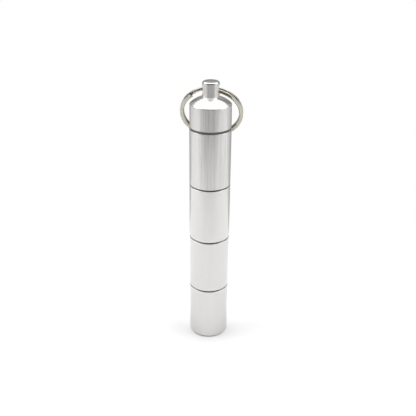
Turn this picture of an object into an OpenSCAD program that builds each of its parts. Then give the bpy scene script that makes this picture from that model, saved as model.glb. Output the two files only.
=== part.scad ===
// Stacking pill fob: four aluminium compartments that screw into each other, a domed cap
// and a split key ring through the cap's knob.
// Z points up. The origin is the middle of the flat underside. The hole through the knob
// runs along X, and the ring leans against the back of the stack, towards +Y.

/* [Compartments] */
// Outside diameter of the compartments
body_d = 16; // [14:0.5:24]
// Height of the bottom compartment's side
base_h = 22.7; // [14:0.1:40]
// Height of each other compartment's side
compartment_h = 22.35; // [14:0.05:40]
// Thickness of a compartment's floor
floor_t = 1.5; // [0.8:0.1:4]
// Radius of the round edge under the bottom compartment
foot_round = 0.5; // [0.2:0.1:1]
// Bevel on the edges at each seam
seam_bevel = 0.15; // [0.05:0.05:0.3]

/* [Screw threads] */
// Wall left round the thread in a compartment's mouth
rim_wall = 1; // [0.7:0.1:1.6]
// Distance from one turn of the thread to the next
thread_pitch = 1; // [0.8:0.05:1.5]
// Depth of the thread
thread_depth = 0.55; // [0.3:0.05:0.7]
// Number of turns on a plug
thread_turns = 4; // [3:1:6]
// Clearance between a plug's thread and its mouth
thread_gap = 0.15; // [0.12:0.01:0.25]
// Depth of the plain seat at the top of a mouth
seat_h = 0.4; // [0.2:0.1:1]
// Height of the plain nose below a plug's thread
nose_h = 0.5; // [0.3:0.1:1.5]
// Clearance below a plug's nose before the mouth narrows to the pocket
nose_gap = 0.3; // [0.2:0.1:1]
// Bevel on the end of a plug's nose
nose_bevel = 0.2; // [0.1:0.05:0.25]

/* [Seals] */
// Height of a squeezed rubber seal between two compartments
seal_h = 0.5; // [0.3:0.05:1.2]
// How far that seal stands in from the compartments' side
seal_inset = 0.5; // [0.2:0.05:0.6]
// Height of the squeezed rubber seal under the cap
cap_seal_h = 0.85; // [0.3:0.05:1.2]
// How far the cap's seal stands in from the compartments' side
cap_seal_inset = 0.2; // [0.1:0.05:0.6]
// Clearance between a seal and the neck that it sits round
seal_gap = 0.03; // [0.02:0.01:0.1]

/* [Cap] */
// Height of the cap's straight side
cap_side_h = 8.3; // [5:0.1:20]
// How far the cap's side stands in from the compartments' side
cap_inset = 0.1; // [0:0.05:0.5]
// Radius of the ball shape of the dome
dome_r = 11.5; // [9.5:0.5:30]
// Radius of the edge between the side and the dome
dome_edge = 0.8; // [0.2:0.1:1.5]
// Diameter of the knob
knob_d = 6.5; // [5.5:0.1:9]
// Metal between the dome and the knob's hole
knob_below = 1; // [0.5:0.05:4]
// Metal between the knob's hole and its top
knob_above = 1.65; // [0.8:0.05:4]
// Radius of the knob's top edge
knob_round = 0.7; // [0.2:0.1:1.2]

/* [Key ring] */
// How far the inside of the ring clears the compartments' side
ring_reach = 2.5; // [1.8:0.1:6]
// Width of the flat wire, across the ring
wire_w = 1.5; // [1.2:0.1:2.2]
// Thickness of the flat wire
wire_t = 0.75; // [0.6:0.05:1.2]
// Bevel along the wire's edges
wire_bevel = 0.22; // [0.1:0.01:0.28]
// Space between the ring's two turns
turn_gap = 0.42; // [0.41:0.01:0.8]
// Clearance between the wire and the knob's hole
hole_gap = 0.15; // [0.1:0.01:0.5]
// Space between the leaning ring and the stack's side
lean_gap = 0.15; // [0.1:0.01:0.5]
// Where the wire's front end is, in degrees round from the ring's right side
front_end = 130; // [115:1:150]
// Where the wire's back end is, in degrees round from the ring's right side
back_end = 82; // [75:1:84]

/* [Hidden] */
$fn = 96;

aluminium = "#d8d8da";
rubber = "#262626";
nickel = "#cbc5b2";

// Overlap that joins two shapes of one piece
bite = 0.2;
// Step that keeps a many-sided thread inside the round faces that it ends in
step_in = 0.05;

body_r = body_d / 2;
cap_r = body_r - cap_inset;
knob_r = knob_d / 2;

// The thread is a wave wound round the plug, with this many sides and rows to a turn.
// Flat sides cut a corner off a circle, so a mouth's corners stand out by this factor
sides = 24;
rows_per_turn = 6;
corner = 1 / cos(180 / sides);
row_h = thread_pitch / rows_per_turn;

// Radii of the relief round a mouth's thread, of the plug's crest, valley and neck, and
// of the pocket
relief_r = body_r - rim_wall;
crest_r = (relief_r - step_in) / corner - thread_gap;
valley_r = crest_r - thread_depth;
neck_r = valley_r + step_in;
pocket_r = valley_r + thread_gap;

// Heights of a plug and its mouth, measured from the rim that the plug goes in at
thread_top = -seat_h;
thread_foot = thread_top - thread_turns * thread_pitch;
plug_foot = thread_foot - nose_h;
mouth_foot = plug_foot - nose_gap;

// Height of each rim above the underside: the bottom compartment's is number 0
function rim_z(n) = base_h + n * (seal_h + compartment_h);
cap_z = rim_z(3) + cap_seal_h;

// The dome's ball has its centre at this height over the cap's shoulder
ball_z = cap_side_h - sqrt(pow(dome_r - dome_edge, 2) - pow(cap_r - dome_edge, 2));

// The ring's radii, and how far its wire sags across the width of the knob
ring_in_r = body_r + ring_reach;
ring_r = ring_in_r + wire_w / 2;
wire_sag = ring_r - sqrt(pow(ring_r, 2) - pow(knob_r, 2));
layer_y = (wire_t + turn_gap) / 2;
ring_half_t = layer_y + wire_t / 2;

// The hole lets the wire turn in it, and the ring's centre hangs this far from the hole
hole_r = sqrt(pow(wire_w / 2 + wire_sag / 2, 2) + pow(ring_half_t, 2)) + hole_gap;
ring_drop = ring_r - wire_sag / 2;
knob_foot_z = ball_z + sqrt(pow(dome_r, 2) - pow(knob_r, 2));
hole_z = knob_foot_z + knob_below + hole_r;
knob_top_z = hole_z + hole_r + knob_above;

// The ring's angle from straight down, when its inner edge is lean_gap off the stack
edge_reach = sqrt(pow(ring_drop + ring_in_r, 2) + pow(ring_half_t, 2));
lean = asin((body_r + lean_gap) / edge_reach) + atan(ring_half_t / (ring_drop + ring_in_r));

// The wire starts at its front end and winds twice round. It crosses from the front turn
// to the back turn inside the knob's hole
cross_start = 444;
cross_end = 465;
wire_end = 720 + back_end;
wire_step = 6;
stations = ceil((wire_end - front_end) / wire_step);

// Height of the thread's wave, from 0 in the valley to 1 on the crest
function wave(z, angle) = (1 - cos(360 * z / thread_pitch - angle)) / 2;

// The wave dies away in half a turn at each end of a plug's thread
function run_out(z) =
    let (ends = 2 * min(z - thread_foot, thread_top - z) / thread_pitch)
    max(0, min(1, ends));

// Sides of a closed body made of rings of points: rings of m points, n rings in all
function skin(n, m) = concat(
    [[for (i = [0 : m - 1]) i]],
    [for (k = [0 : n - 2]) for (i = [0 : m - 1]) [k * m + i, (k + 1) * m + i, (k + 1) * m + (i + 1) % m]],
    [for (k = [0 : n - 2]) for (i = [0 : m - 1]) [k * m + i, (k + 1) * m + (i + 1) % m, k * m + (i + 1) % m]],
    [[for (i = [m - 1 : -1 : 0]) (n - 1) * m + i]]
);

// A column whose radius at each height and angle is core plus the wave times a depth
module wavy_column(heights, core, depths) {
    points = [
        for (k = [0 : len(heights) - 1])
        for (i = [0 : sides - 1])
        let (angle = 360 * i / sides)
        let (r = core + depths[k] * wave(heights[k], angle))
        [r * cos(angle), r * sin(angle), heights[k]]
    ];
    polyhedron(points, skin(len(heights), sides), convexity = 10);
}

// The thread on a plug, which sinks a little into the neck above it and the nose below it
module plug_thread() {
    rows = thread_turns * rows_per_turn;
    heights = concat(
        [thread_foot - bite],
        [for (k = [0 : rows]) thread_foot + k * row_h],
        [thread_top + bite]
    );
    wavy_column(heights, valley_r, [for (z = heights) thread_depth * run_out(z)]);
}

// The space that a thread cuts in a mouth, from the seat down to the relief
module mouth_thread() {
    rows = ceil((thread_top - thread_foot + nose_h + bite) / row_h);
    heights = [for (k = [0 : rows]) thread_top + bite / 2 - (rows - k) * row_h];
    depth = corner * thread_depth;
    wavy_column(heights, corner * (valley_r + thread_gap), [for (z = heights) depth]);
}

// A plug that hangs under a shoulder at height top above the rim
module plug(top) {
    translate([0, 0, thread_top]) cylinder(r = neck_r, h = top + bite - thread_top);
    plug_thread();
    translate([0, 0, plug_foot + nose_bevel]) cylinder(r = neck_r, h = nose_h - nose_bevel);
    translate([0, 0, plug_foot]) cylinder(r1 = neck_r - nose_bevel, r2 = neck_r, h = nose_bevel);
}

// The mouth of a compartment: the seat, the thread and the relief below it
module mouth() {
    translate([0, 0, thread_top]) cylinder(r = relief_r, h = seat_h + bite);
    mouth_thread();
    translate([0, 0, mouth_foot]) cylinder(r = relief_r, h = nose_gap + nose_h / 2);
}

// Half outline of a compartment's outside, with a bevel at each seam
module side_outline(h, foot_bevel) {
    polygon([
        [0, 0],
        [body_r - foot_bevel, 0],
        [body_r, foot_bevel],
        [body_r, h - seam_bevel],
        [body_r - seam_bevel, h],
        [0, h]
    ]);
}

// Half outline of the bottom compartment's outside, with its round foot
module foot_outline() {
    square([body_r - foot_round, base_h / 2]);
    translate([0, foot_round]) square([body_r, base_h / 2]);
    translate([body_r - foot_round, foot_round]) circle(r = foot_round);
    translate([0, base_h / 4]) side_outline(base_h * 3 / 4, 0);
}

// What is taken out of a compartment whose side is h high
module hollow(h) {
    translate([0, 0, h]) mouth();
    translate([0, 0, floor_t]) cylinder(r = pocket_r, h = h + mouth_foot - floor_t + bite);
}

// A compartment that screws into the one below it. Its plug is below its floor
module stacking_compartment(number) {
    color(aluminium)
    difference() {
        union() {
            translate([0, 0, rim_z(number - 1) + seal_h])
            rotate_extrude() side_outline(compartment_h, seam_bevel);
            translate([0, 0, rim_z(number - 1)]) plug(seal_h);
        }
        translate([0, 0, rim_z(number - 1) + seal_h]) hollow(compartment_h);
    }
}

// A rubber ring squeezed between a rim and the shoulder above it, with bulging sides
module seal(number, h, inset) {
    in_r = neck_r + seal_gap;
    out_r = body_r - inset;
    color(rubber)
    translate([0, 0, rim_z(number)])
    rotate_extrude() {
        translate([in_r + h / 2, 0]) square([out_r - in_r - h, h]);
        translate([in_r + h / 2, h / 2]) circle(r = h / 2);
        translate([out_r - h / 2, h / 2]) circle(r = h / 2);
    }
}

// Half outline of the cap above its shoulder: side, dome and knob
module cap_outline() {
    polygon([
        [0, 0],
        [cap_r - seam_bevel, 0],
        [cap_r, seam_bevel],
        [cap_r, cap_side_h],
        [0, cap_side_h]
    ]);
    translate([cap_r - dome_edge, cap_side_h]) circle(r = dome_edge);
    intersection() {
        translate([0, ball_z]) circle(r = dome_r);
        polygon([
            [0, ball_z],
            [0, ball_z + 2 * dome_r],
            [2 * (cap_r - dome_edge), ball_z + 2 * (cap_side_h - ball_z)]
        ]);
    }
    square([knob_r, knob_top_z - knob_round]);
    square([knob_r - knob_round, knob_top_z]);
    translate([knob_r - knob_round, knob_top_z - knob_round]) circle(r = knob_round);
}

// How far the wire is from the front turn to the back turn at an angle, from -1 to 1
function crossing(angle) =
    let (part = max(0, min(1, (angle - cross_start) / (cross_end - cross_start))))
    -cos(180 * part);

// Corners of the wire's section: distance across the ring, then through it
wire_section = [
    [wire_w / 2, wire_t / 2 - wire_bevel],
    [wire_w / 2, wire_bevel - wire_t / 2],
    [wire_w / 2 - wire_bevel, -wire_t / 2],
    [wire_bevel - wire_w / 2, -wire_t / 2],
    [-wire_w / 2, wire_bevel - wire_t / 2],
    [-wire_w / 2, wire_t / 2 - wire_bevel],
    [wire_bevel - wire_w / 2, wire_t / 2],
    [wire_w / 2 - wire_bevel, wire_t / 2]
];

// One section of the wire, at an angle round from the ring's right side
function wire_ring(angle) = [
    for (p = wire_section)
    let (r = ring_r + p[0])
    [r * cos(angle), layer_y * crossing(angle) + p[1], r * sin(angle)]
];
wire_rings = [
    for (k = [0 : stations])
    wire_ring(front_end + (wire_end - front_end) * k / stations)
];

// Least space between two turns of the wire, measured from point to point
turn_space = min([
    for (j = [0 : stations])
    for (k = [j + ceil(180 / wire_step) : 1 : stations])
    for (a = wire_rings[j])
    for (b = wire_rings[k])
    norm(a - b)
]);
echo(least_space_between_the_rings_turns = turn_space);

module split_ring() {
    color(nickel)
    translate([0, 0, cap_z + hole_z])
    rotate([lean, 0, 0])
    translate([0, 0, -ring_drop])
    polyhedron([for (ring = wire_rings) each ring], skin(stations + 1, len(wire_section)), convexity = 10);
}

module cap() {
    color(aluminium)
    translate([0, 0, cap_z])
    difference() {
        union() {
            rotate_extrude() cap_outline();
            translate([0, 0, -cap_seal_h]) plug(cap_seal_h);
        }
        translate([0, 0, hole_z]) rotate([0, 90, 0]) cylinder(r = hole_r, h = 2 * knob_d, center = true);
    }
}

module cap_seal() {
    seal(3, cap_seal_h, cap_seal_inset);
}

module top_compartment() {
    stacking_compartment(3);
}

module top_seal() {
    seal(2, seal_h, seal_inset);
}

module upper_compartment() {
    stacking_compartment(2);
}

module upper_seal() {
    seal(1, seal_h, seal_inset);
}

module lower_compartment() {
    stacking_compartment(1);
}

module lower_seal() {
    seal(0, seal_h, seal_inset);
}

module base_compartment() {
    color(aluminium)
    difference() {
        rotate_extrude() foot_outline();
        hollow(base_h);
    }
}

split_ring();
cap();
cap_seal();
top_compartment();
top_seal();
upper_compartment();
upper_seal();
lower_compartment();
lower_seal();
base_compartment();
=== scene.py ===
from math import acos, atan2, copysign, cos, degrees, pi, radians, sin, sqrt

import bpy
from mathutils import Euler, Matrix, Vector


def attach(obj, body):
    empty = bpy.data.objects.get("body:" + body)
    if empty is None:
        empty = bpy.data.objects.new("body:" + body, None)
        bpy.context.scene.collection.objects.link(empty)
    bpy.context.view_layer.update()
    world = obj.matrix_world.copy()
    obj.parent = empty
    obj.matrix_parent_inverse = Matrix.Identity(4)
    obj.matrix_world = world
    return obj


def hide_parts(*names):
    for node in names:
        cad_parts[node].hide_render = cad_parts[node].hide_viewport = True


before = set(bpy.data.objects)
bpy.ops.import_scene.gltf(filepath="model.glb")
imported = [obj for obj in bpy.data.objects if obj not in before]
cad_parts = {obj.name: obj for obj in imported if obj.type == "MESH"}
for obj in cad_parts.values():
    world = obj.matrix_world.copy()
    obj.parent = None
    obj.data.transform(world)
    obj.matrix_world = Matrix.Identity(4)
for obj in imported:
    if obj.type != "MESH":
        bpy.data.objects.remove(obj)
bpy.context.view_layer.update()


# The screw thread that holds the stack together: a 1 mm pitch, right-handed, cut on a lathe on
# each plug and inside each mouth. It is modelled once as a male thread and once as the tap
# that cuts the female one, with about 0.1 mm of clearance on the flanks. All sizes are in mm.
MM = 0.001
ROUND, THREAD_ROUND = 128, 96  # sides to one turn of a piece, and of a thread
PITCH, WOUND_TURNS, WOUND_FROM = 1.0, 9, -7
PLUG_ROOT, PLUG_SHOULDER, PLUG_CREST = 6.24, 6.7, 6.74
TAP_CORE, MOUTH_SHOULDER, MOUTH_ROOT = 6.28, 6.85, 6.89
# heights are measured from the rim that the plug hangs in: the thread's ends, where it is full
# size between them, and the tap's ends
THREAD_LOW, THREAD_HIGH = -4.45, -0.4
FULL_LOW, FULL_HIGH = -3.9, -0.95
UNDER_ROOT, OVER_CREST = 6.15, 6.9
TAP_LOW, TAP_HIGH, OVER_TAP = -4.95, -0.25, 7.4


def draw_line(name, line):
    """A wire drawn from point to point, each a radius and a height, in edit mode."""
    bpy.ops.object.select_all(action="DESELECT")
    bpy.ops.mesh.primitive_plane_add(size=MM)
    piece = bpy.context.object
    piece.name = piece.data.name = name
    bpy.ops.object.mode_set(mode="EDIT")
    bpy.ops.mesh.select_all(action="SELECT")
    bpy.ops.mesh.merge(type="CENTER")
    bpy.ops.transform.translate(value=(line[0][0] * MM, 0, line[0][1] * MM))
    for (r0, z0), (r1, z1) in zip(line, line[1:]):
        step = {"value": ((r1 - r0) * MM, 0, (z1 - z0) * MM)}
        bpy.ops.mesh.extrude_vertices_move(TRANSFORM_OT_translate=step)
    bpy.ops.mesh.select_all(action="SELECT")
    return piece


def turn(name, line):
    """Half an outline, spun once round the Z axis as on a lathe, and closed."""
    piece = draw_line(name, line)
    bpy.ops.mesh.spin(steps=ROUND, angle=2 * pi, center=(0, 0, 0), axis=(0, 0, 1))
    bpy.ops.mesh.select_all(action="SELECT")
    bpy.ops.mesh.remove_doubles(threshold=1e-6)
    bpy.ops.mesh.normals_make_consistent(inside=False)
    bpy.ops.object.mode_set(mode="OBJECT")
    return piece


def apply_modifiers(piece):
    bpy.ops.object.select_all(action="DESELECT")
    bpy.context.view_layer.objects.active = piece
    piece.select_set(True)
    for modifier in list(piece.modifiers):
        bpy.ops.object.modifier_apply(modifier=modifier.name)


def cut(piece, tool, how):
    """Joins, cuts or trims a piece with a tool, which is used up."""
    boolean = piece.modifiers.new("cut", "BOOLEAN")
    boolean.operation, boolean.solver, boolean.object = how, "EXACT", tool
    apply_modifiers(piece)
    bpy.data.objects.remove(tool)


def copy_of(piece, name):
    twin = piece.copy()
    twin.data = piece.data.copy()
    twin.name = twin.data.name = name
    bpy.context.collection.objects.link(twin)
    return twin


def wind_thread(name, tooth):
    """One tooth of thread, wound up round the Z axis, with its two ends closed."""
    piece = draw_line(name, [(r, z + WOUND_FROM) for r, z in tooth])
    bpy.ops.object.mode_set(mode="OBJECT")
    screw = piece.modifiers.new("screw", "SCREW")
    screw.axis, screw.angle, screw.screw_offset = "Z", 2 * pi, PITCH * MM
    screw.iterations, screw.steps, screw.render_steps = WOUND_TURNS, THREAD_ROUND, THREAD_ROUND
    apply_modifiers(piece)
    bpy.ops.object.mode_set(mode="EDIT")
    bpy.ops.mesh.select_all(action="SELECT")
    bpy.ops.mesh.remove_doubles(threshold=1e-6)
    bpy.ops.mesh.select_all(action="DESELECT")
    bpy.ops.mesh.select_mode(type="EDGE")
    bpy.ops.mesh.select_non_manifold(
        extend=False, use_wire=False, use_multi_face=False, use_non_contiguous=False, use_verts=False
    )
    bpy.ops.mesh.extrude_edges_move(TRANSFORM_OT_translate={"value": (0, 0, 0)})
    bpy.ops.mesh.merge(type="COLLAPSE")
    bpy.ops.mesh.select_mode(type="VERT")
    bpy.ops.mesh.select_all(action="SELECT")
    bpy.ops.mesh.normals_make_consistent(inside=False)
    bpy.ops.object.mode_set(mode="OBJECT")
    return piece


plug_thread = wind_thread("plug_thread", [
    (PLUG_ROOT, 0), (PLUG_ROOT, 0.14), (PLUG_SHOULDER, 0.42), (PLUG_CREST, 0.46),
    (PLUG_CREST, 0.54), (PLUG_SHOULDER, 0.58), (PLUG_ROOT, 0.86), (PLUG_ROOT, PITCH),
])
chamfers = turn("chamfers", [
    (0, THREAD_LOW), (UNDER_ROOT, THREAD_LOW), (OVER_CREST, FULL_LOW),
    (OVER_CREST, FULL_HIGH), (UNDER_ROOT, THREAD_HIGH), (0, THREAD_HIGH),
])
cut(plug_thread, chamfers, "INTERSECT")

tap = wind_thread("tap", [
    (TAP_CORE, 0), (TAP_CORE, 0.066), (MOUTH_SHOULDER, 0.39), (MOUTH_ROOT, 0.43),
    (MOUTH_ROOT, 0.57), (MOUTH_SHOULDER, 0.61), (TAP_CORE, 0.934), (TAP_CORE, PITCH),
])
tap_length = turn("tap_length", [(0, TAP_LOW), (OVER_TAP, TAP_LOW), (OVER_TAP, TAP_HIGH), (0, TAP_HIGH)])
cut(tap, tap_length, "INTERSECT")


# The base compartment: a cup turned and bored from 16 mm aluminium bar, with a flat closed
# bottom that the holder stands on and a threaded mouth. The bare metal is fine turned, then
# polished lengthways, so that it is a satin grey with faint upright lines.
BODY_R, BORE_R, RELIEF_R = 7.998, 6.34, 7.0
BASE_RIM, FLOOR_THICK = 22.7, 1.5
RIM_ROUND, FOOT_ROUND, FLOOR_ROUND = 0.15, 0.5, 0.4
LEAD_IN, SEAT_DEPTH, CONE_DEPTH = 0.12, 0.4, 0.78  # the mouth's steps, measured down from its rim
MOUTH_DEPTH, GROOVE_DEPTH = 4.65, 5.2
SMOOTH_UP_TO = 28  # degrees


def rounded(r, z, radius, start, end, steps):
    """Points of a rounded edge, from one angle to another."""
    turns = [radians(start + (end - start) * k / steps) for k in range(steps + 1)]
    return [(r + radius * cos(a), z + radius * sin(a)) for a in turns]


def mouth_line(rim, floor):
    """From a compartment's rounded rim through its mouth and down to its floor."""
    return [
        *rounded(BODY_R - RIM_ROUND, rim - RIM_ROUND, RIM_ROUND, 0, 90, 4),
        (RELIEF_R + LEAD_IN, rim), (RELIEF_R, rim - LEAD_IN),
        (RELIEF_R, rim - SEAT_DEPTH), (BORE_R, rim - CONE_DEPTH),
        (BORE_R, rim - MOUTH_DEPTH), (RELIEF_R, rim - MOUTH_DEPTH),
        (RELIEF_R, rim - GROOVE_DEPTH), (BORE_R, rim - GROOVE_DEPTH),
        *rounded(BORE_R - FLOOR_ROUND, floor + FLOOR_ROUND, FLOOR_ROUND, 0, -90, 5), (0, floor),
    ]


def thread_at(piece, form, rim, how):
    """Cuts or adds a copy of the thread at the height of a rim."""
    thread = copy_of(form, "thread_at_rim")
    thread.location.z = rim * MM
    bpy.context.view_layer.update()
    cut(piece, thread, how)


def colour(code):
    """A colour written in sRGB hex, as linear light."""
    parts = [int(code[k:k + 2], 16) / 255 for k in (1, 3, 5)]
    return (*[c / 12.92 if c < 0.04045 else ((c + 0.055) / 1.055) ** 2.4 for c in parts], 1)


def new_material(name):
    material = bpy.data.materials.new(name)
    material.use_nodes = True
    return material, material.node_tree, material.node_tree.nodes["Principled BSDF"]


def add_node(tree, kind, inputs=None, **settings):
    """Adds a node with its settings, and its inputs by value or by the socket that feeds them."""
    node = tree.nodes.new("ShaderNode" + kind)
    for name, value in settings.items():
        setattr(node, name, value)
    for name, value in (inputs or {}).items():
        if isinstance(value, bpy.types.NodeSocket):
            tree.links.new(value, node.inputs[name])
        else:
            node.inputs[name].default_value = value
    return node


def make_aluminium(name, dark, pale):
    """Bare aluminium, fine turned and polished lengthways. To the eye it is satin, with faint
    upright lines and highlights smeared along the axis, and it has turned rings on its ends."""
    material, tree, metal = new_material(name)
    place = add_node(tree, "TexCoord")
    apart = add_node(tree, "SeparateXYZ", {0: place.outputs["Object"]})
    facing = add_node(tree, "SeparateXYZ", {0: place.outputs["Normal"]})
    steep = add_node(tree, "Math", {0: facing.outputs[2]}, operation="ABSOLUTE")
    on_end = add_node(tree, "MapRange", {"Value": steep.outputs[0], "From Min": 0.5, "From Max": 0.9})

    # polishing lines about 0.3 mm apart and some 20 mm long
    upright = add_node(tree, "Mapping", {"Vector": place.outputs["Object"], "Scale": (1, 1, 0.014)})
    lines = add_node(tree, "TexNoise", {
        "Vector": upright.outputs[0], "Scale": 3.2 / MM, "Detail": 4, "Roughness": 0.6,
    })
    # turning marks about 0.15 mm apart, drawn coarser than the real 0.05 mm so that they show:
    # bands up the sides, and rings on the ends
    flat = add_node(tree, "CombineXYZ", {0: apart.outputs[0], 1: apart.outputs[1]})
    radius = add_node(tree, "VectorMath", {0: flat.outputs[0]}, operation="LENGTH")
    rings_at = add_node(tree, "Math", {0: radius.outputs["Value"], 1: 7 / MM}, operation="MULTIPLY")
    rings = add_node(
        tree, "TexNoise", {"W": rings_at.outputs[0], "Scale": 1, "Detail": 2}, noise_dimensions="1D"
    )
    bands_at = add_node(tree, "Math", {0: apart.outputs[2], 1: 7 / MM}, operation="MULTIPLY")
    bands = add_node(
        tree, "TexNoise", {"W": bands_at.outputs[0], "Scale": 1, "Detail": 2}, noise_dimensions="1D"
    )

    marks = add_node(tree, "Mix", {
        "Factor": on_end.outputs[0], "A": lines.outputs["Fac"], "B": rings.outputs["Fac"],
    })
    tone = add_node(tree, "MapRange", {"Value": marks.outputs[0], "From Min": 0.3, "From Max": 0.7})
    shade = add_node(
        tree, "Mix", {"Factor": tone.outputs[0], "A": colour(dark), "B": colour(pale)}, data_type="RGBA"
    )
    tree.links.new(shade.outputs[2], metal.inputs["Base Color"])

    # handling wears the shine unevenly, in patches some 8 mm across
    cloud = add_node(tree, "TexNoise", {"Vector": place.outputs["Object"], "Scale": 0.13 / MM, "Detail": 3})
    worn = add_node(tree, "Math", {0: marks.outputs[0], 1: cloud.outputs["Fac"]}, operation="ADD")
    rough = add_node(tree, "MapRange", {
        "Value": worn.outputs[0], "From Min": 0.6, "From Max": 1.4, "To Min": 0.2, "To Max": 0.27,
    })
    # the dome and the rims are only turned, so they are duller than the polished sides
    turned = add_node(tree, "MapRange", {
        "Value": steep.outputs[0], "From Min": 0.05, "From Max": 0.3, "To Min": 1, "To Max": 1.4,
    })
    # above 104 mm the knob is rubbed bright by the key ring
    rubbed = add_node(tree, "MapRange", {
        "Value": apart.outputs[2], "From Min": 103.5 * MM, "From Max": 104.5 * MM,
        "To Min": 1, "To Max": 0.28,
    })
    kept = add_node(tree, "Math", {0: turned.outputs[0], 1: rubbed.outputs[0]}, operation="MULTIPLY")
    shine = add_node(tree, "Math", {0: rough.outputs[0], 1: kept.outputs[0]}, operation="MULTIPLY")
    tree.links.new(shine.outputs[0], metal.inputs["Roughness"])

    height = add_node(tree, "Mix", {
        "Factor": on_end.outputs[0], "A": bands.outputs["Fac"], "B": rings.outputs["Fac"],
    })
    relief = add_node(tree, "Bump", {"Height": height.outputs[0], "Strength": 0.12, "Distance": 0.02 * MM})
    tree.links.new(relief.outputs[0], metal.inputs["Normal"])
    round_axis = add_node(tree, "Tangent", direction_type="RADIAL", axis="Z")
    tree.links.new(round_axis.outputs[0], metal.inputs["Tangent"])
    metal.inputs["Metallic"].default_value = 1
    metal.inputs["Anisotropic"].default_value = 0.7
    metal.inputs["Anisotropic Rotation"].default_value = 0.25
    return material


def fit_piece(piece, material, body, node):
    """Smooths a finished piece and puts it on its body, in the place of its CAD node."""
    bpy.ops.object.select_all(action="DESELECT")
    bpy.context.view_layer.objects.active = piece
    piece.select_set(True)
    bpy.ops.object.transform_apply(location=True, rotation=True, scale=True)
    bpy.ops.object.shade_smooth_by_angle(angle=radians(SMOOTH_UP_TO))
    flatten = piece.modifiers.new("flat_walls", "WEIGHTED_NORMAL")
    flatten.keep_sharp, flatten.weight = True, 100
    apply_modifiers(piece)
    piece.data.materials.clear()
    piece.data.materials.append(material)
    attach(piece, body)
    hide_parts(node)


aluminium = make_aluminium("polished_aluminium", "#dad9d8", "#e3e2e1")
base_cup = turn("base_cup", [
    (0, 0), *rounded(BODY_R - FOOT_ROUND, FOOT_ROUND, FOOT_ROUND, -90, 0, 6),
    *mouth_line(BASE_RIM, FLOOR_THICK),
])
thread_at(base_cup, tap, BASE_RIM, "DIFFERENCE")
fit_piece(base_cup, aluminium, "base", "base_compartment")


# The three stacking compartments: alike, each a turned cup with the same mouth and, under its
# 1.5 mm floor, a threaded plug that screws into the cup below. One is modelled, then copied.
# The top one is more strongly lined by its polishing than the two below it.
CUP_SIDE, SEAL_GAP, STEP_UP = 22.35, 0.5, 22.85
NECK_R, NOSE = 6.22, 0.2
PLUG_END, NOSE_TOP = 4.9, 4.7  # measured down from the rim of the cup below


def plug_line(rim, shoulder):
    """From a plug's flat end up its neck to the shoulder above it."""
    return [
        (0, rim - PLUG_END), (NECK_R - NOSE, rim - PLUG_END), (NECK_R, rim - NOSE_TOP), (NECK_R, shoulder),
    ]


shoulder = BASE_RIM + SEAL_GAP
cup = turn("lower_cup", [
    *plug_line(BASE_RIM, shoulder),
    *rounded(BODY_R - RIM_ROUND, shoulder + RIM_ROUND, RIM_ROUND, -90, 0, 4),
    *mouth_line(shoulder + CUP_SIDE, shoulder + FLOOR_THICK),
])
thread_at(cup, plug_thread, BASE_RIM, "UNION")
thread_at(cup, tap, shoulder + CUP_SIDE, "DIFFERENCE")
lined_aluminium = make_aluminium("lined_aluminium", "#c9c8c6", "#e9e8e6")
cups = [cup, copy_of(cup, "upper_cup"), copy_of(cup, "top_cup")]
metals = [aluminium, aluminium, lined_aluminium]
for count, (piece, metal, body) in enumerate(zip(cups, metals, ("lower", "upper", "top"))):
    piece.location.z = count * STEP_UP * MM
    fit_piece(piece, metal, body, body + "_compartment")


# The seals: moulded rubber rings, one on the neck of each plug, squeezed flat between a rim
# and the shoulder above it so that their sides bulge. The one under the cap is thicker, stands
# further out and is coloured a paler grey than the black ones below it.
TOP_RIM = BASE_RIM + 3 * STEP_UP
CAP_SEAL_GAP = 0.85
SEAL_INSET, CAP_SEAL_INSET = 0.65, 0.2
NECK_GAP, SEAL_SLACK = 0.05, 0.005


def make_rubber(name, dark, pale):
    """Moulded nitrile rubber: matt, with a fine bloom that greys it unevenly."""
    material, tree, rubber = new_material(name)
    place = add_node(tree, "TexCoord")
    # bloom in spots about 1 mm across
    bloom = add_node(tree, "TexNoise", {"Vector": place.outputs["Object"], "Scale": 0.9 / MM, "Detail": 4})
    shade = add_node(
        tree, "Mix", {"Factor": bloom.outputs["Fac"], "A": colour(dark), "B": colour(pale)}, data_type="RGBA"
    )
    tree.links.new(shade.outputs[2], rubber.inputs["Base Color"])
    # the mould's grain, about 0.15 mm
    grain = add_node(tree, "TexNoise", {"Vector": place.outputs["Object"], "Scale": 6 / MM, "Detail": 2})
    relief = add_node(tree, "Bump", {"Height": grain.outputs["Fac"], "Strength": 0.2, "Distance": 0.02 * MM})
    tree.links.new(relief.outputs[0], rubber.inputs["Normal"])
    rubber.inputs["Roughness"].default_value = 0.55
    rubber.inputs["IOR"].default_value = 1.52
    return material


black_rubber = make_rubber("black_nitrile_rubber", "#0c0c0d", "#1e1e1f")
grey_rubber = make_rubber("paler_grey_nitrile_rubber", "#5e5e5e", "#80807f")
for body, rim, high, outer, rubber in (
    ("lower_seal", BASE_RIM, SEAL_GAP, BODY_R - SEAL_INSET, black_rubber),
    ("upper_seal", BASE_RIM + STEP_UP, SEAL_GAP, BODY_R - SEAL_INSET, black_rubber),
    ("top_seal", BASE_RIM + 2 * STEP_UP, SEAL_GAP, BODY_R - SEAL_INSET, black_rubber),
    ("cap_seal", TOP_RIM, CAP_SEAL_GAP, BODY_R - CAP_SEAL_INSET, grey_rubber),
):
    half = high / 2 - SEAL_SLACK
    middle, inner = rim + high / 2, NECK_R + NECK_GAP
    band = turn(body + "_ring", [
        *rounded(outer - half, middle, half, -90, 90, 8),
        *rounded(inner + half, middle, half, 90, 270, 8),
        (outer - half, middle - half),
    ])
    fit_piece(band, rubber, body, body)


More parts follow.
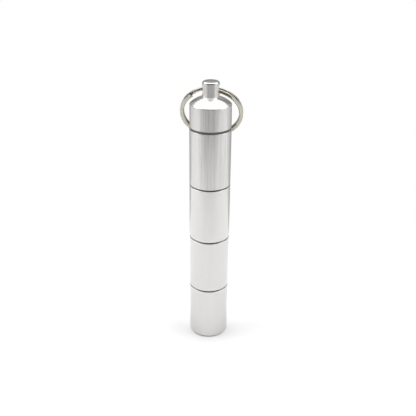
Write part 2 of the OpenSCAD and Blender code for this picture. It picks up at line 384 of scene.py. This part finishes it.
# The cap: turned from the same bar in one piece, with a plug below, a low dome and a knob that
# is cross-drilled for the key ring. The hole's edges are countersunk so that the wire slides.
CAP_FOOT, CAP_R = TOP_RIM + CAP_SEAL_GAP, 7.9
DOME_R, DOME_EDGE, CAP_SIDE = 11.5, 0.4, 8.48
KNOB_R, KNOB_EDGE, KNOB_TOP, KNOB_FOOT = 3.25, 0.7, 109.13, 0.1
HOLE_R, HOLE_Z, SINK, SINK_END = 1.53, 105.955, 1.2, 4
dome_z = CAP_FOOT + CAP_SIDE - sqrt((DOME_R - DOME_EDGE) ** 2 - (CAP_R - DOME_EDGE) ** 2)
dome_start = degrees(atan2(CAP_FOOT + CAP_SIDE - dome_z, CAP_R - DOME_EDGE))
dome_stop = degrees(acos((KNOB_R + KNOB_FOOT) / DOME_R))
cap = turn("cap_with_knob", [
    *plug_line(TOP_RIM, CAP_FOOT),
    *rounded(CAP_R - RIM_ROUND, CAP_FOOT + RIM_ROUND, RIM_ROUND, -90, 0, 4),
    *rounded(CAP_R - DOME_EDGE, CAP_FOOT + CAP_SIDE, DOME_EDGE, 0, dome_start, 8),
    *rounded(0, dome_z, DOME_R, dome_start, dome_stop, 20)[1:],
    (KNOB_R, dome_z + DOME_R * sin(radians(dome_stop)) + KNOB_FOOT),
    *rounded(KNOB_R - KNOB_EDGE, KNOB_TOP - KNOB_EDGE, KNOB_EDGE, 0, 90, 8),
    (0, KNOB_TOP),
])
thread_at(cap, plug_thread, TOP_RIM, "UNION")
drill = turn("drill", [
    (0, -SINK_END), (HOLE_R + SINK, -SINK_END), (HOLE_R, SINK - SINK_END),
    (HOLE_R, SINK_END - SINK), (HOLE_R + SINK, SINK_END), (0, SINK_END),
])
drill.rotation_euler = (0, pi / 2, 0)
drill.location.z = HOLE_Z * MM
bpy.context.view_layer.update()
cut(cap, drill, "DIFFERENCE")
fit_piece(cap, lined_aluminium, "cap", "cap")


# The split key ring: one length of flat spring-steel wire, wound nearly twice round to 24 mm
# and nickel plated. It steps from the front turn to the back turn inside the knob's hole, and
# hangs from it, leaning against the back of the stack.
RING_R, WIRE_WIDE, WIRE_THICK, TURN_AT = 11.24, 1.5, 0.72, 0.6
CROWN, SECTION_POINTS = 0.6, 28  # a crown of 1 would be an oval wire, and 0 a square-edged one
WIRE_START, WIRE_END, WIRE_STEP = 130, 802, 2  # degrees round the ring
CROSS_FROM, CROSS_OVER = 444, 21
RING_DROP, LEAN = 11.010, 24.797


def make_nickel():
    """Bright nickel plate on steel wire: a faintly warm mirror, clouded here and there."""
    material, tree, nickel = new_material("nickel_plated_spring_steel")
    place = add_node(tree, "TexCoord")
    # the plate varies in patches about 2 mm across
    cloud = add_node(tree, "TexNoise", {"Vector": place.outputs["Object"], "Scale": 0.5 / MM, "Detail": 4})
    shade = add_node(
        tree, "Mix", {"Factor": cloud.outputs["Fac"], "A": colour("#afaca0"), "B": colour("#c7c4b7")},
        data_type="RGBA",
    )
    tree.links.new(shade.outputs[2], nickel.inputs["Base Color"])
    rough = add_node(tree, "MapRange", {
        "Value": cloud.outputs["Fac"], "From Min": 0.3, "From Max": 0.7, "To Min": 0.04, "To Max": 0.08,
    })
    tree.links.new(rough.outputs[0], nickel.inputs["Roughness"])
    # the wire's drawn grain, about 0.25 mm, coarser than the real one so that it shows
    grain = add_node(tree, "TexNoise", {"Vector": place.outputs["Object"], "Scale": 4 / MM, "Detail": 2})
    relief = add_node(tree, "Bump", {"Height": grain.outputs["Fac"], "Strength": 0.05, "Distance": 0.01 * MM})
    tree.links.new(relief.outputs[0], nickel.inputs["Normal"])
    nickel.inputs["Metallic"].default_value = 1
    return material


def side_of_knob(angle):
    """The wire's height off the ring's middle plane: 1 in front, -1 behind."""
    part = min(1, max(0, (angle - CROSS_FROM) / CROSS_OVER))
    return cos(pi * part)


section = bpy.data.curves.new("wire_section", "CURVE")
section.dimensions = "2D"
outline = section.splines.new("POLY")
outline.points.add(SECTION_POINTS - 1)
for k, point in enumerate(outline.points):
    a = 2 * pi * k / SECTION_POINTS
    across = WIRE_WIDE / 2 * copysign(abs(cos(a)) ** CROWN, cos(a))
    through = WIRE_THICK / 2 * copysign(abs(sin(a)) ** CROWN, sin(a))
    point.co = (across * MM, through * MM, 0, 1)
outline.use_cyclic_u = True
section_shape = bpy.data.objects.new("wire_section", section)
bpy.context.collection.objects.link(section_shape)

wire = bpy.data.curves.new("split_ring_wire", "CURVE")
wire.dimensions, wire.twist_mode = "3D", "Z_UP"
wire.bevel_mode, wire.bevel_object, wire.use_fill_caps = "OBJECT", section_shape, True
path = wire.splines.new("POLY")
angles = range(WIRE_START, WIRE_END + 1, WIRE_STEP)
path.points.add(len(angles) - 1)
for point, angle in zip(path.points, angles):
    a = radians(angle)
    height = TURN_AT * side_of_knob(angle)
    point.co = (RING_R * cos(a) * MM, RING_R * sin(a) * MM, height * MM, 1)
split_ring = bpy.data.objects.new("split_ring_wire", wire)
bpy.context.collection.objects.link(split_ring)
bpy.ops.object.select_all(action="DESELECT")
bpy.context.view_layer.objects.active = split_ring
split_ring.select_set(True)
bpy.ops.object.convert(target="MESH")
lean = radians(LEAN)
split_ring.rotation_euler = (radians(90 + LEAN), 0, 0)
split_ring.location = (0, RING_DROP * sin(lean) * MM, (HOLE_Z - RING_DROP * cos(lean)) * MM)
fit_piece(split_ring, make_nickel(), "ring", "split_ring")
for tool in (section_shape, plug_thread, tap):
    bpy.data.objects.remove(tool)


# The setting: a white paper sweep on a table, and a studio with a large soft light overhead
# and two at the sides. The camera stands in front, a little to the right, and looks down.
PAPER_WIDE, PAPER_DEEP, PAPER_MIDDLE, PAPER_TOP = 0.7, 0.285, -0.0575, -0.00005  # in metres
bpy.ops.object.select_all(action="DESELECT")
bpy.ops.mesh.primitive_plane_add(size=1, location=(0, PAPER_MIDDLE, PAPER_TOP))
floor = bpy.context.object
floor.name = "paper_sweep"
floor.scale = (PAPER_WIDE, PAPER_DEEP, 1)
paper, tree, matt = new_material("white_paper")
matt.inputs["Base Color"].default_value = colour("#ececec")
matt.inputs["Roughness"].default_value = 0.9
# the photograph is exposed so that the paper burns out to white, with only the shadow left
path_of_light = add_node(tree, "LightPath")
burnt = add_node(
    tree, "Math", {0: path_of_light.outputs["Is Camera Ray"], 1: 0.07}, operation="MULTIPLY"
)
glow = add_node(tree, "Emission", {"Color": (1, 1, 1, 1), "Strength": burnt.outputs[0]})
exposed = add_node(tree, "AddShader", {0: matt.outputs[0], 1: glow.outputs[0]})
tree.links.new(exposed.outputs[0], tree.nodes["Material Output"].inputs["Surface"])
floor.data.materials.append(paper)

# above the horizon, the room's walls are pale at the sides and behind, and dark behind the
# camera
world = bpy.context.scene.world or bpy.data.worlds.new("studio")
bpy.context.scene.world = world
world.use_nodes = True
sky = world.node_tree
room = sky.nodes["Background"]
room.inputs["Color"].default_value = (1, 1, 1, 1)
toward = add_node(sky, "TexCoord")
way = add_node(sky, "SeparateXYZ", {0: toward.outputs["Generated"]})
wall = add_node(sky, "MapRange", {
    "Value": way.outputs[2], "From Min": 0, "From Max": 0.5, "To Min": 0.13, "To Max": 0.64,
})
dark_front = add_node(sky, "MapRange", {
    "Value": way.outputs[1], "From Min": -0.4, "From Max": -0.1, "To Min": 0.06, "To Max": 1,
})
walls = add_node(sky, "Math", {0: wall.outputs[0], 1: dark_front.outputs[0]}, operation="MULTIPLY")
# below it, the pale table falls off towards the camera and towards the back
near = add_node(sky, "MapRange", {
    "Value": way.outputs[1], "From Min": -0.8, "From Max": -0.4, "To Min": 0.5, "To Max": 0.84,
})
far = add_node(sky, "MapRange", {
    "Value": way.outputs[1], "From Min": 0.5, "From Max": 0.8, "To Min": 1, "To Max": 0.6,
})
table = add_node(sky, "Math", {0: near.outputs[0], 1: far.outputs[0]}, operation="MULTIPLY")
below = add_node(sky, "Math", {0: way.outputs[2], 1: 0}, operation="LESS_THAN")
around = add_node(sky, "Mix", {"Factor": below.outputs[0], "A": walls.outputs[0], "B": table.outputs[0]})
sky.links.new(around.outputs[0], room.inputs["Strength"])
# the camera itself sees plain white
seen_by = add_node(sky, "LightPath")
backdrop = add_node(sky, "Background", {"Color": (1, 1, 1, 1), "Strength": 1})
chosen = add_node(sky, "MixShader", {
    0: seen_by.outputs["Is Camera Ray"], 1: room.outputs[0], 2: backdrop.outputs[0],
})
sky.links.new(chosen.outputs[0], sky.nodes["World Output"].inputs["Surface"])


def soft_box(name, place, width, depth, power):
    """A soft box that faces the middle of the object."""
    lamp = bpy.data.lights.new(name, "AREA")
    lamp.shape, lamp.size, lamp.size_y, lamp.energy = "RECTANGLE", width, depth, power
    light = bpy.data.objects.new(name, lamp)
    bpy.context.collection.objects.link(light)
    light.location = place
    toward_middle = Vector((0, 0, 0.05)) - light.location
    light.rotation_euler = toward_middle.to_track_quat("-Z", "Y").to_euler()


soft_box("overhead_box", (0, 0.06, 0.5), 0.85, 0.6, 2.65)
soft_box("left_box", (-0.45, -0.05, 0.38), 0.34, 0.34, 0.95)
soft_box("right_box", (0.45, 0, 0.38), 0.34, 0.34, 0.75)

AROUND, LOOK_DOWN, ROLL = radians(4.5), radians(63.75), radians(0.54)
camera = bpy.data.objects.new("camera", bpy.data.cameras.new("camera"))
bpy.context.collection.objects.link(camera)
camera.data.sensor_width, camera.data.lens = 36, 53.1
camera.data.clip_start = 0.01
camera.location = Matrix.Rotation(AROUND, 3, "Z") @ Vector((-0.00064, -0.2202, 0.16631))
aim = Euler((LOOK_DOWN, 0, AROUND)).to_matrix() @ Matrix.Rotation(ROLL, 3, "Z")
camera.rotation_euler = aim.to_euler()
bpy.context.scene.camera = camera
bpy.context.scene.view_settings.view_transform = "Standard"
